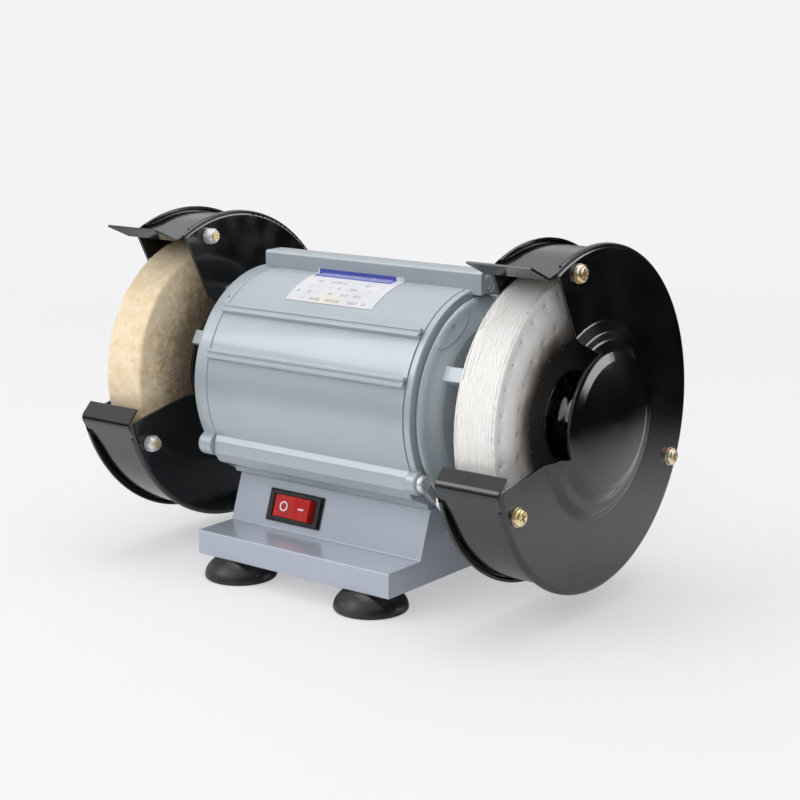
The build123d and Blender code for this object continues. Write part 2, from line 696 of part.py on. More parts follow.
def make_feet():
    foot = make_foot()
    screws, washers, nuts = [], [], []
    for x, y in corners(FOOT_X, FOOT_Y):
        row = "front" if y < 0 else "rear"
        side = "left" if x < 0 else "right"
        nodes[f"foot_{row}_{side}"] = Pos(x, y, 0) * foot
        screws.append(Pos(x, y, 3.0) * Rot(180, 0, 0) * pan_screw(M5, 14.0, 4.6, 2.4))
        washers.append(Pos(x, y, 3.0) * washer(6.4, M5 + 0.05, 1.0))
        nuts.append(Pos(x, y, BASE_BOTTOM + PLATE_T) * hex_nut(M5 + 0.03, 8.0, 4.0))
    nodes["foot_screws"] = screws
    nodes["foot_washers"] = washers
    nodes["foot_nuts"] = nuts


def make_housing_screws():
    under = SHAFT_Z - HOUSING_R - SADDLE_GAP - BASE_WALL
    screw = Rot(180, 0, 0) * pan_screw(M4, 5.2, 3.9, 2.4)
    nodes["housing_screws"] = [Pos(x, 0, under) * screw for x in HOUSING_SCREW_X]
    grommet = Cylinder(LEAD_HOLE_R, 6.6, align=BOTTOM) + Cylinder(6.2, 1.2, align=TOP)
    grommet -= Cylinder(2.9, 20)
    nodes["lead_grommet"] = Pos(LEAD_HOLE_X, 0, under) * grommet


# ---- switch ----
def make_switch():
    length, width = BEZEL
    place = panel_plane(SWITCH_X, SWITCH_UP)
    bezel = Box(length, width, 1.9, align=BOTTOM)
    bezel = chamfer(bezel.edges().group_by(Axis.Z)[-1], 1.1)
    bezel = fillet(bezel.edges().filter_by(Axis.Z), 0.7)
    frame = bezel + Box(27.2, 13.4, 15.0, align=TOP)
    frame -= Pos(0, 0, 2.0) * Box(24.6, 10.6, 9.0, align=TOP)
    pin_hole = Rot(90, 0, 0) * Cylinder(1.08, 12.0)
    frame -= Pos(0, 0, -PIVOT_DEPTH) * pin_hole
    nodes["switch_frame"] = place * frame

    profile = Polyline(
        (-11.7, 2.9), (0, 1.5), (11.7, 2.9), (11.3, -2.9), (4.0, -5.4), (-4.0, -5.4), (-11.3, -2.9), close=True
    )
    rocker = Plane.XZ * extrude(make_face(profile), amount=5.1, both=True)
    rocker += Pos(0, 0, -PIVOT_DEPTH) * Rot(90, 0, 0) * Cylinder(1.0, 11.8)
    tilt = Pos(0, 0, -PIVOT_DEPTH) * Rot(0, -ROCKER_TILT, 0) * Pos(0, 0, PIVOT_DEPTH)
    nodes["switch_rocker"] = place * tilt * rocker

    blade = Box(0.8, 4.8, 8.0, align=TOP) - Pos(0, 0, -5.5) * Rot(0, 90, 0) * Cylinder(0.8, 4)
    nodes["switch_terminals"] = [place * Pos(x, 0, -15.0) * blade for x in (-8.0, 8.0)]


# ---- electrics in the base ----
def make_electrics():
    floor = BASE_BOTTOM + PLATE_T
    case = fillet(Box(38.0, 18.0, 16.0, align=BOTTOM).edges().filter_by(Axis.Z), 1.5)
    ear = Pos(-25.0, 0, 0) * Box(14.0, 12.0, 1.5, align=BOTTOM) - Pos(-26.0, 0, 0) * Cylinder(1.7, 5)
    nodes["run_capacitor"] = Pos(*CAPACITOR_AT, floor) * (case + ear)
    screw = pan_screw(1.5, 4.4, 2.9, 1.9)
    nodes["capacitor_screw"] = Pos(*CAPACITOR_SCREW, floor + 1.5) * screw

    block = Box(26.0, 13.0, 10.0, align=BOTTOM)
    for x in (-8.4, 0.0, 8.4):
        block -= Pos(x, 0, 4.2) * Rot(90, 0, 0) * Cylinder(1.9, 20)
        block -= Pos(x, 0, 6.0) * Cylinder(1.8, 10, align=BOTTOM)
    nodes["terminal_block"] = Pos(-33.0, 6.0, floor) * block


def make_gland():
    place = panel_plane(GLAND_X, SWITCH_UP, front=False)
    body = Cylinder(6.0, 9.0, align=TOP) + Cylinder(7.6, 3.0, align=BOTTOM)
    cone = Pos(0, 0, 3.0) * Cone(6.4, 5.0, 5.0, align=BOTTOM)
    nodes["cable_gland"] = place * (body + cone - Cylinder(GLAND_BORE_R, 40))
    nut = Pos(0, 0, -BASE_WALL - 3.0) * hex_nut(6.03, 15.0, 3.0)
    nodes["gland_nut"] = place * nut


def export(name, shape):
    if isinstance(shape, list):
        shape = Compound([solid for item in shape for solid in item.solids()])
    export_step(shape, f"parts/{name}.step")


def main():
    os.makedirs("parts", exist_ok=True)
    make_housing()
    make_bells()
    make_tie_bolts()
    make_rating_plate()
    make_stator()
    make_rotor()
    make_bearings()
    make_wave_washer()
    make_flanges_and_nuts()
    make_wheels()
    make_guards()
    make_base()
    make_bottom_plate()
    make_feet()
    make_housing_screws()
    make_switch()
    make_electrics()
    make_gland()
    for name, shape in nodes.items():
        export(name, shape)
    print(len(nodes), "nodes")


main()
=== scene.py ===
import json
import math
import random

import bpy
from mathutils import Euler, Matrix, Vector, noise


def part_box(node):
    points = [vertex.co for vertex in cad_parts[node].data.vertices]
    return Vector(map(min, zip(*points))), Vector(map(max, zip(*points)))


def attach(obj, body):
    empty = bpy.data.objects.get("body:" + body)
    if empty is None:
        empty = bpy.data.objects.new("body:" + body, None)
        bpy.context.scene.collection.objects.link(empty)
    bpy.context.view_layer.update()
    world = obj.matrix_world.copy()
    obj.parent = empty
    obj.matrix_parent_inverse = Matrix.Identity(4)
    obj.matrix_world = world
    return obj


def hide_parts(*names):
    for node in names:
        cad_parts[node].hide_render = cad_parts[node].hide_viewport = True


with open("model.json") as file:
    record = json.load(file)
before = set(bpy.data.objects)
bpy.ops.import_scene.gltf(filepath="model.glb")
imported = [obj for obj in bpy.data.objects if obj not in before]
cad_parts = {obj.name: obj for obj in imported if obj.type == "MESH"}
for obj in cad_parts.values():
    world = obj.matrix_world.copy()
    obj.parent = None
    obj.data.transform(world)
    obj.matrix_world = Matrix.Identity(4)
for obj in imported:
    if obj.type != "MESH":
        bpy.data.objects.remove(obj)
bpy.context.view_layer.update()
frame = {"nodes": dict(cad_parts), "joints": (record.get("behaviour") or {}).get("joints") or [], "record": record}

# Looks of the bench grinder. Lengths are metres in the frame's axes: X along the motor shaft, -Y the
# front, Z up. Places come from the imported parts; MM turns drawing sizes in millimetres into metres.
MM = 0.001
JOINTS = {joint["name"]: joint for joint in frame["joints"]}
SHAFT_Z = JOINTS["rotor_spin"]["pos_m"][2]
SLOT_OF = {part["node"]: part["material_slot"] for part in frame["record"]["subparts"]}

# the camera
CAMERA_PLACE = (0.50429, -0.63589, 0.25413)
CAMERA_AZIMUTH = 37.63
CAMERA_PITCH = -12.17
LENS = 80.77
SENSOR = 36.0

# the paper floor: its reach, its shades, how much of a shadow shows, and where it fades to background
FLOOR_REACH = 40.0
PAPER_LOW = (0.79, 0.79, 0.803)
PAPER_HIGH = (0.8, 0.8, 0.812)
SHADOW_SHARE = 0.5
PLAIN_FADE = (0.25, 1.1)
MIRRORED_FADE = (0.22, 0.5)

# the room's light, which is dark on one side and dim near the horizon
BACKGROUND_COLOR = (0.985, 0.985, 1.0)
BACKGROUND_LEVEL = 0.91
ROOM_LEVEL = 0.85
DIM_SIDE = (0.94, 0.34, 0.0)
DIM_LEVEL = 0.025
HORIZON_SHARE = 0.4

# the window, which only mirror rays see: on the floor a wedge that fades out over these angles from its
# bearing and fades in over these reaches, and above the floor a cone, given as cosines
WINDOW_BEARING = math.radians(42.0)
WINDOW_RISE = math.radians(8.0)
WINDOW_LEVEL = 4.0
WINDOW_WEDGE = (0.15, 0.25)
WINDOW_REACH = (2.2, 3.2)
WINDOW_CONE = (0.955, 0.985)

# the soft lights, in watts
KEY_POWER = 11.5
TOP_POWER = 10.0
FILL_POWER = 8.0

# main colours
BODY_GREY = (0.385, 0.44, 0.475)
BASE_GREY = (0.385, 0.425, 0.49)

# both wheels, in millimetres
BORE_R = 6.0

# the felt wheel: steps round it, lumps as (to the metre, millimetres high), and loose hairs
FELT_STEPS = 360
FELT_LUMPS = ((90, 0.45), (420, 0.28), (1300, 0.16))
FELT_SIDE_SHARE = 0.6
HAIRS = 900
HAIR_R = 0.045

# the buff, in millimetres: its plies lie tight at the hub and spread out to their full width
BUFF_STEPS = 480
PLIES = 18
OUTER_PLY_STEPS = 44
INNER_PLY_STEPS = 9
PLY_GAP = 0.02
HUB_R = 27.0
FULL_R = 50.0
RIM_WAVE = 0.25
RIM_CROWN = 1.5
RIM_PINCH = 0.97
INNER_FRAY = 0.25
FRAY_THREADS = 900
FRAY_R = 0.11

# its stitches: rings as (radius, count), the groove that each ring presses, the pucker at each stitch
STITCH_RINGS = ((57.0, 34), (43.0, 26), (30.0, 18))
GROOVE_WIDTH, GROOVE_DEPTH = 2.4, 0.35
PUCKER_LENGTH, PUCKER_WIDTH, PUCKER_DEPTH = 1.9, 1.7, 0.75
STITCH_HALF = 0.75
STITCH_R = 0.3

# the prints on the rocker, in millimetres: radii of the ring, half sizes of the bar, foot and top
MARK_RING = (2.35, 1.65)
MARK_BAR = (2.1, 0.34)
MARK_LIFT = (-0.1, 0.05)
MARK_STEPS = 40

# measure_buff works these out from the frame
buff_size = {}


# ---- small helpers ----
def around(x, radius, angle):
    """A point at this radius and angle about the shaft, where angle 0 is the front and 90 degrees is up."""
    return Vector((x, -radius * math.cos(angle), SHAFT_Z + radius * math.sin(angle)))


def new_mesh(name, points, faces, smooth=True):
    """A piece with these points and faces, added to the scene."""
    mesh = bpy.data.meshes.new(name)
    mesh.from_pydata([tuple(p) for p in points], [], faces)
    mesh.update()
    if smooth:
        mesh.shade_smooth()
    piece = bpy.data.objects.new(name, mesh)
    bpy.context.scene.collection.objects.link(piece)
    return piece


def densified(outline, step):
    """The outline's points, with more of them along its long straight runs."""
    points = []
    for (x0, r0), (x1, r1) in zip(outline, outline[1:]):
        count = max(1, round(math.hypot(x1 - x0, r1 - r0) / step))
        points += [(x0 + (x1 - x0) * i / count, r0 + (r1 - r0) * i / count) for i in range(count)]
    return points + [outline[-1]]


def ring_faces(rings, size, start=0):
    """Quads between closed rings of points, the last ring joined to the first."""
    faces = []
    for i in range(rings):
        here, there = start + i * size, start + (i + 1) % rings * size
        for j in range(size):
            k = (j + 1) % size
            faces.append((here + j, here + k, there + k, there + j))
    return faces


def lathe(outline, steps, shape):
    """Points and faces of a closed outline turned about the shaft; shape(x, r, angle) places each point."""
    points = []
    for i in range(steps):
        angle = 2 * math.pi * i / steps
        points += [shape(x, r, angle) for x, r in outline]
    return points, ring_faces(steps, len(outline))


def tubes(name, paths, radius, sides=5):
    """One mesh of thin closed tubes along these paths, each thinner towards its far end."""
    points, faces = [], []
    for path in paths:
        start = len(points)
        side = (path[1] - path[0]).orthogonal().normalized()
        for i, place in enumerate(path):
            along = (path[min(i + 1, len(path) - 1)] - path[max(i - 1, 0)]).normalized()
            side = (side - along * side.dot(along)).normalized()
            up = along.cross(side)
            thin = radius * (1.0 - 0.55 * i / (len(path) - 1))
            for j in range(sides):
                turn = 2 * math.pi * j / sides
                points.append(place + (side * math.cos(turn) + up * math.sin(turn)) * thin)
        for i in range(len(path) - 1):
            for j in range(sides):
                k = (j + 1) % sides
                low, high = start + i * sides, start + (i + 1) * sides
                faces.append((low + j, low + k, high + k, high + j))
        faces.append(tuple(start + sides - 1 - j for j in range(sides)))
        faces.append(tuple(start + (len(path) - 1) * sides + j for j in range(sides)))
    return new_mesh(name, points, faces)


# ---- materials ----
class Finish:
    """
    A node material with one Principled shader. Its textures lie in the part's own metres, so a noise of
    scale 200 has features of 5 mm, and a seed shifts it.
    """

    def __init__(self, name, color, roughness, **constants):
        self.material = bpy.data.materials.new(name)
        self.material.use_nodes = True
        self.nodes = self.material.node_tree.nodes
        self.links = self.material.node_tree.links
        self.shader = self.nodes["Principled BSDF"]
        self.place = self.add("ShaderNodeTexCoord", "Object")
        self.set(base_color=color, roughness=roughness, **constants)

    def feed(self, socket, value):
        """Links a socket to another's output, or sets it to a colour or a number."""
        if isinstance(value, bpy.types.NodeSocket):
            self.links.new(value, socket)
        elif socket.type == "RGBA":
            socket.default_value = (*value, 1.0)
        else:
            socket.default_value = value

    def set(self, **values):
        """Feeds the shader's inputs, named in lower case with underscores."""
        for name, value in values.items():
            self.feed(self.shader.inputs[name.replace("_", " ").title().replace("Ior", "IOR")], value)

    def add(self, kind, output=0, inputs=None, **settings):
        """A new node's output, with the node's inputs and settings filled in."""
        node = self.nodes.new(kind)
        for name, value in settings.items():
            setattr(node, name, value)
        for key, value in (inputs or {}).items():
            self.feed(node.inputs[key], value)
        return node.outputs[output]

    def calc(self, operation, first, second=0.0):
        return self.add("ShaderNodeMath", 0, {0: first, 1: second}, operation=operation)

    def fade(self, value, low, high, start=0.0, end=1.0):
        """Turns low..high into start..end along a smooth step, and holds it outside them."""
        levels = {"Value": value, "From Min": low, "From Max": high, "To Min": start, "To Max": end}
        return self.add("ShaderNodeMapRange", 0, levels, interpolation_type="SMOOTHSTEP")

    def band(self, value, start, end, soft=0.004):
        """1 between start and end, with edges this soft."""
        rise = self.fade(value, start - soft, start + soft)
        return self.calc("MULTIPLY", rise, self.fade(value, end - soft, end + soft, 1.0, 0.0))

    def blend(self, share, first, second):
        return self.add("ShaderNodeMix", 2, {0: share, 6: first, 7: second}, data_type="RGBA")

    def stretched(self, place, scale, seed=0.0):
        shift = (seed, seed * 0.7, seed * 1.3)
        return self.add("ShaderNodeMapping", 0, {"Vector": place, "Location": shift, "Scale": scale})

    def noise(self, scale, detail=3.0, roughness=0.5, stretch=(1, 1, 1), seed=0.0, place=None):
        place = self.stretched(place or self.place, tuple(scale * s for s in stretch), seed)
        levels = {"Vector": place, "Scale": 1.0, "Detail": detail, "Roughness": roughness}
        return self.add("ShaderNodeTexNoise", 0, levels)

    def specks(self, scale, size, seed=0.0):
        """1 inside small round spots, one in some of the cells of this many to the metre."""
        place = self.stretched(self.place, (scale, scale, scale), seed)
        spot = self.add("ShaderNodeTexVoronoi", "Distance", {"Vector": place, "Scale": 1.0})
        return self.fade(spot, size * 0.7, size, 1.0, 0.0)

    def scratches(self, scale, stretch, width=0.03, seed=0.0):
        """1 along fine lines that run the way the texture is stretched."""
        lines = self.noise(scale, 2.0, 0.5, stretch, seed)
        off = self.calc("ABSOLUTE", self.calc("SUBTRACT", lines, 0.5))
        return self.fade(off, 0.0, width, 1.0, 0.0)

    def bump(self, height, depth, under=None):
        inputs = {"Height": height, "Distance": depth, "Strength": 1.0}
        if under is not None:
            inputs["Normal"] = under
        return self.add("ShaderNodeBump", 0, inputs)

    def rounded(self, radius):
        """The surface normal with every sharp edge rounded off."""
        return self.add("ShaderNodeBevel", 0, {"Radius": radius}, samples=6)

    def edges(self, rounded, low=0.03, high=0.3):
        """1 where the rounded normal leaves the true one, which is along the edges."""
        flat = self.add("ShaderNodeNewGeometry", "Normal")
        inputs = {0: rounded, 1: flat}
        along = self.add("ShaderNodeVectorMath", "Value", inputs, operation="DOT_PRODUCT")
        return self.fade(self.calc("SUBTRACT", 1.0, along), low, high)

    def turned(self):
        """(x, radius, angle) about the motor shaft, as a place for textures that run round it."""
        parts = self.nodes.new("ShaderNodeSeparateXYZ")
        self.feed(parts.inputs[0], self.place)
        forward = self.calc("MULTIPLY", parts.outputs[1], -1.0)
        up = self.calc("SUBTRACT", parts.outputs[2], SHAFT_Z)
        squares = self.calc("ADD", self.calc("MULTIPLY", forward, forward), self.calc("MULTIPLY", up, up))
        radius = self.calc("SQRT", squares)
        angle = self.calc("ARCTAN2", up, forward)
        return parts.outputs[0], radius, angle

    def joined(self, x, y, z):
        return self.add("ShaderNodeCombineXYZ", 0, {0: x, 1: y, 2: z})


def enamel(name, color, seed):
    """Pale gloss enamel on castings: orange peel, slight clouds, a few chips, and paler edges, part wear and part
    painted highlight.
    """
    paint = Finish(name, color, 0.31, metallic=0.12, coat_weight=0.6, coat_roughness=0.08, coat_ior=1.6)
    cloudy = paint.noise(18, 4.0, 0.55, seed=seed)
    dark = tuple(c * 0.97 for c in color)
    light = tuple(min(1.0, c * 1.03) for c in color)
    tone = paint.blend(paint.fade(cloudy, 0.35, 0.65), dark, light)
    chips = paint.calc("MULTIPLY", paint.specks(75, 0.055, seed), paint.fade(cloudy, 0.5, 0.6))
    tone = paint.blend(chips, tone, (0.05, 0.055, 0.06))
    rounded = paint.rounded(0.45 * MM)
    # paler edges: partly wear, partly a painted highlight along every edge
    worn = paint.calc("MULTIPLY", paint.edges(rounded), paint.noise(160, 3.0, seed=seed))
    tone = paint.blend(paint.calc("MULTIPLY", worn, 0.8), tone, (0.68, 0.72, 0.75))
    peel = paint.bump(paint.noise(650, 2.0, seed=seed), 0.012 * MM, rounded)
    paint.set(base_color=tone, normal=peel, coat_normal=peel)
    return paint.material


def gloss_black(name, seed):
    """Black stove enamel on sheet steel: light scuffs, dust, and cut edges greyed, part wear and part painted
    highlight.
    """
    paint = Finish(name, (0.004, 0.004, 0.0045), 0.14, specular_ior_level=0.85)
    rounded = paint.rounded(0.4 * MM)
    scuffs = paint.noise(40, 4.0, 0.6, seed=seed)
    tone = paint.blend(paint.fade(scuffs, 0.35, 0.7), (0.003, 0.003, 0.0034), (0.006, 0.006, 0.0066))
    lines = paint.scratches(240, (1, 0.12, 0.7), 0.008, seed)
    lines = paint.calc("MULTIPLY", lines, paint.fade(scuffs, 0.52, 0.66))
    tone = paint.blend(paint.calc("MULTIPLY", lines, 0.08), tone, (0.16, 0.16, 0.165))
    dust = paint.calc("MULTIPLY", paint.specks(260, 0.09, seed), paint.fade(scuffs, 0.45, 0.6))
    tone = paint.blend(paint.calc("MULTIPLY", dust, 0.12), tone, (0.3, 0.3, 0.3))
    # greyed cut edges: partly wear, partly a painted highlight along the edges
    edge = paint.calc("MULTIPLY", paint.edges(rounded), paint.noise(220, 2.0, seed=seed))
    tone = paint.blend(paint.calc("MULTIPLY", edge, 0.5), tone, (0.2, 0.2, 0.21))
    peel = paint.bump(paint.noise(420, 2.0, seed=seed), 0.014 * MM, rounded)
    rough = paint.fade(paint.noise(70, 4.0, seed=seed + 5), 0.3, 0.7, 0.1, 0.17)
    paint.set(base_color=tone, roughness=rough, normal=peel)
    return paint.material


def wool_felt():
    """Pressed wool: matted fibres, tan at the rim, with painted shade that turns brown and then near black towards
    the hub.
    """
    felt = Finish("wool_felt", (0.7, 0.56, 0.38), 0.95, sheen_weight=0.35, sheen_roughness=0.5)
    _, radius, _ = felt.turned()
    mats = felt.noise(240, 6.0, 0.7)
    patches = felt.noise(55, 3.0, 0.6, seed=4.0)
    tone = felt.blend(felt.fade(mats, 0.32, 0.7), (0.84, 0.65, 0.4), (0.97, 0.82, 0.58))
    pale = felt.calc("MULTIPLY", felt.fade(patches, 0.45, 0.75), 0.5)
    tone = felt.blend(pale, tone, (0.88, 0.75, 0.55))
    # painted shade: brown, then near black, towards the hub, along a ragged radius
    painted_shade_radius = felt.calc("ADD", felt.calc("MULTIPLY", patches, 0.012), felt.calc("MULTIPLY", mats, 0.024))
    painted_shade_radius = felt.calc("ADD", radius, painted_shade_radius)
    tone = felt.blend(felt.fade(painted_shade_radius, 0.055, 0.077, 0.75, 0.0), tone, (0.33, 0.22, 0.11))
    tone = felt.blend(felt.fade(painted_shade_radius, 0.048, 0.066, 0.85, 0.0), tone, (0.08, 0.05, 0.022))
    lint = felt.scratches(900, (0.25, 1, 0.4), 0.02, 2.0)
    tone = felt.blend(felt.calc("MULTIPLY", lint, 0.35), tone, (0.9, 0.82, 0.66))
    fibres = felt.bump(felt.noise(1500, 5.0, 0.75, (1, 0.4, 0.4)), 0.14 * MM)
    lumps = felt.bump(mats, 0.2 * MM, fibres)
    felt.set(base_color=tone, normal=lumps)
    return felt.material


def cotton_cloth():
    """Unbleached cotton: threads that run round the wheel, soiled in clouds, with painted shade that turns brown
    and then black towards the hub.
    """
    cloth = Finish("cotton_cloth", (0.86, 0.82, 0.75), 0.92, sheen_weight=0.05, sheen_roughness=0.6)
    x, radius, angle = cloth.turned()
    swept = cloth.joined(x, radius, cloth.calc("MULTIPLY", angle, 0.008))
    streaks = cloth.noise(900, 5.0, 0.65, place=swept)
    clouds = cloth.noise(60, 4.0, 0.6, seed=7.0)
    tone = cloth.blend(cloth.fade(streaks, 0.3, 0.68), (0.9, 0.88, 0.84), (0.97, 0.96, 0.935))
    soiled = cloth.calc("MULTIPLY", cloth.fade(clouds, 0.5, 0.8), 0.2)
    tone = cloth.blend(soiled, tone, (0.78, 0.72, 0.64))
    # painted shade: brown, then black, towards the hub, along a ragged radius
    painted_shade_radius = cloth.calc("ADD", radius, cloth.calc("MULTIPLY", clouds, 0.016))
    tone = cloth.blend(cloth.fade(painted_shade_radius, 0.044, 0.057, 0.75, 0.0), tone, (0.3, 0.23, 0.17))
    tone = cloth.blend(cloth.fade(painted_shade_radius, 0.038, 0.052, 0.97, 0.0), tone, (0.012, 0.01, 0.009))
    weave = cloth.noise(2200, 3.0, 0.6, (1, 0.3, 0.3))
    nap = cloth.bump(weave, 0.12 * MM)
    folds = cloth.bump(streaks, 0.1 * MM, nap)
    cloth.set(base_color=tone, normal=folds)
    cloth.set(subsurface_weight=0.06, subsurface_radius=(0.003, 0.0025, 0.002), subsurface_scale=1.0)
    return cloth.material


def sewing_thread():
    """The soiled brown thread of the stitches."""
    thread = Finish("sewing_thread", (0.3, 0.25, 0.2), 0.9, sheen_weight=0.2)
    tone = thread.blend(thread.noise(900, 3.0), (0.2, 0.15, 0.11), (0.42, 0.35, 0.28))
    thread.set(base_color=tone, normal=thread.bump(thread.noise(4000, 2.0), 0.05 * MM))
    return thread.material


def frayed_thread():
    """Loose cotton threads at the buff's rim."""
    thread = Finish("frayed_thread", (0.88, 0.85, 0.8), 0.9, sheen_weight=0.3)
    tone = thread.blend(thread.noise(400, 3.0), (0.78, 0.73, 0.66), (0.94, 0.92, 0.88))
    thread.set(base_color=tone, normal=thread.bump(thread.noise(5000, 2.0), 0.04 * MM))
    return thread.material


def black_rubber():
    """The feet's rubber, with dust in patches."""
    rubber = Finish("black_rubber", (0.012, 0.012, 0.013), 0.3, specular_ior_level=0.5)
    dusty = rubber.noise(90, 4.0, 0.6)
    tone = rubber.blend(rubber.fade(dusty, 0.5, 0.8), (0.01, 0.01, 0.011), (0.04, 0.04, 0.042))
    rough = rubber.fade(dusty, 0.3, 0.7, 0.24, 0.42)
    skin = rubber.bump(rubber.noise(1400, 3.0), 0.02 * MM, rubber.rounded(0.4 * MM))
    rubber.set(base_color=tone, roughness=rough, normal=skin)
    return rubber.material


def plated(name, low, high, hint, metallic, seed):
    """Zinc plating, whose passivated film shifts in colour from place to place."""
    zinc = Finish(name, low, 0.28, metallic=metallic)
    film = zinc.noise(240, 2.0, 0.5, seed=seed)
    tone = zinc.blend(zinc.fade(film, 0.38, 0.6), low, high)
    tone = zinc.blend(zinc.fade(zinc.noise(330, 1.0, seed=seed + 9), 0.54, 0.68), tone, hint)
    rough = zinc.fade(zinc.noise(900, 4.0, seed=seed), 0.3, 0.7, 0.18, 0.36)
    marks = zinc.bump(zinc.noise(2500, 2.0, seed=seed), 0.015 * MM, zinc.rounded(0.2 * MM))
    zinc.set(base_color=tone, roughness=rough, normal=marks)
    return zinc.material


def turned_steel():
    """Bright steel with fine turning marks round the shaft."""
    steel = Finish("turned_steel", (0.56, 0.56, 0.57), 0.25, metallic=1.0)
    x, radius, _ = steel.turned()
    marks = steel.noise(5000, 3.0, place=steel.joined(x, radius, 0.0))
    stain = steel.noise(120, 4.0, 0.6)
    tone = steel.blend(steel.fade(stain, 0.5, 0.8), (0.6, 0.6, 0.61), (0.4, 0.38, 0.36))
    rough = steel.fade(stain, 0.3, 0.7, 0.18, 0.34)
    normal = steel.bump(marks, 0.015 * MM, steel.rounded(0.25 * MM))
    steel.set(base_color=tone, roughness=rough, normal=normal)
    return steel.material


def laminations():
    """Stacked electrical steel sheets."""
    stack = Finish("laminations", (0.2, 0.2, 0.21), 0.45, metallic=0.9)
    x, _, _ = stack.turned()
    sheets = stack.calc("FRACT", stack.calc("MULTIPLY", x, 2000.0))
    tone = stack.blend(stack.fade(sheets, 0.1, 0.35), (0.05, 0.05, 0.055), (0.24, 0.24, 0.25))
    tone = stack.blend(stack.fade(stack.noise(140, 4.0), 0.5, 0.75), tone, (0.16, 0.1, 0.07))
    stack.set(base_color=tone, normal=stack.bump(sheets, 0.05 * MM))
    return stack.material


def enamelled_copper():
    """Round wire laid round the stator, under red-brown varnish."""
    copper = Finish("enamelled_copper", (0.45, 0.13, 0.04), 0.3, metallic=0.85, coat_weight=0.5)
    x, radius, angle = copper.turned()
    place = copper.joined(x, radius, copper.calc("MULTIPLY", angle, 0.004))
    wires = copper.noise(1400, 2.0, place=place)
    tone = copper.blend(copper.fade(wires, 0.35, 0.6), (0.2, 0.05, 0.015), (0.62, 0.2, 0.07))
    copper.set(base_color=tone, normal=copper.bump(wires, 0.3 * MM))
    return copper.material


def cast_metal():
    """The grainy aluminium of the rotor's cage."""
    metal = Finish("cast_metal", (0.6, 0.6, 0.61), 0.5, metallic=0.9)
    grain = metal.noise(700, 5.0, 0.7)
    tone = metal.blend(grain, (0.42, 0.42, 0.43), (0.72, 0.72, 0.73))
    metal.set(base_color=tone, roughness=metal.fade(grain, 0.3, 0.7, 0.4, 0.62))
    metal.set(normal=metal.bump(grain, 0.1 * MM, metal.rounded(0.4 * MM)))
    return metal.material


def moulded(name, dark, light, gloss, seed):
    """Moulded plastic: a fine skin, faint flow marks and rubbed edges."""
    plastic = Finish(name, light, gloss, specular_ior_level=0.5)
    flow = plastic.noise(90, 3.0, 0.5, seed=seed)
    rounded = plastic.rounded(0.35 * MM)
    tone = plastic.blend(plastic.fade(flow, 0.3, 0.7), dark, light)
    rubbed = plastic.calc("MULTIPLY", plastic.edges(rounded), 0.35)
    tone = plastic.blend(rubbed, tone, tuple(min(1.0, c * 1.5 + 0.03) for c in light))
    rough = plastic.fade(plastic.noise(300, 3.0, seed=seed), 0.3, 0.7, gloss * 0.8, gloss * 1.3)
    skin = plastic.bump(plastic.noise(1800, 2.0, seed=seed), 0.008 * MM, rounded)
    plastic.set(base_color=tone, roughness=rough, normal=skin)
    return plastic.material


def label_place(film):
    """How far a point lies along the label and down its face, each from 0 to 1."""
    low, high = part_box("rating_plate")
    barrel = math.hypot(low.y, low.z - SHAFT_Z)
    first = math.atan2(low.z - SHAFT_Z, -low.y)
    last = math.acos(-high.y / barrel)
    top = high.z - SHAFT_Z
    climb = top - barrel * math.sin(last)
    x, radius, angle = film.turned()
    along = film.calc("DIVIDE", film.calc("SUBTRACT", x, low.x), high.x - low.x)
    below = film.calc("SUBTRACT", top, film.calc("MULTIPLY", radius, film.calc("SINE", angle)))
    wrapped = film.calc("MULTIPLY", film.calc("MAXIMUM", film.calc("SUBTRACT", last, angle), 0.0), barrel)
    down = film.calc("ADD", film.calc("MINIMUM", below, climb), wrapped)
    return along, film.calc("DIVIDE", down, climb + (last - first) * barrel)


def label_rows(film, along, down, count=6.0):
    """1 inside the short strokes that stand for words, in rows below the head strip."""
    rows = film.calc("MULTIPLY", down, count)
    row = film.calc("FLOOR", rows)
    spot = film.joined(film.calc("MULTIPLY", along, 13.0), film.calc("MULTIPLY", row, 7.3), 0.0)
    words = film.fade(film.noise(1.0, 1.0, place=spot), 0.52, 0.56)
    stroke = film.joined(film.calc("MULTIPLY", along, 90.0), film.calc("MULTIPLY", row, 3.1), 0.0)
    strokes = film.fade(film.noise(1.0, 1.0, place=stroke), 0.38, 0.5, 0.35, 1.0)
    line = film.band(film.calc("FRACT", rows), 0.3, 0.72, 0.08)
    area = film.calc("MULTIPLY", film.band(down, 0.3, 0.95), film.band(along, 0.05, 0.9))
    return film.calc("MULTIPLY", film.calc("MULTIPLY", words, strokes), film.calc("MULTIPLY", line, area))


def label_title(film, along, down):
    """1 inside the pale strokes on the head strip."""
    title = film.joined(film.calc("MULTIPLY", along, 75.0), 3.0, 0.0)
    title = film.fade(film.noise(1.0, 1.0, place=title), 0.45, 0.55)
    strip = film.calc("MULTIPLY", film.band(down, 0.07, 0.19, 0.02), film.band(along, 0.06, 0.88))
    return film.calc("MULTIPLY", title, strip)


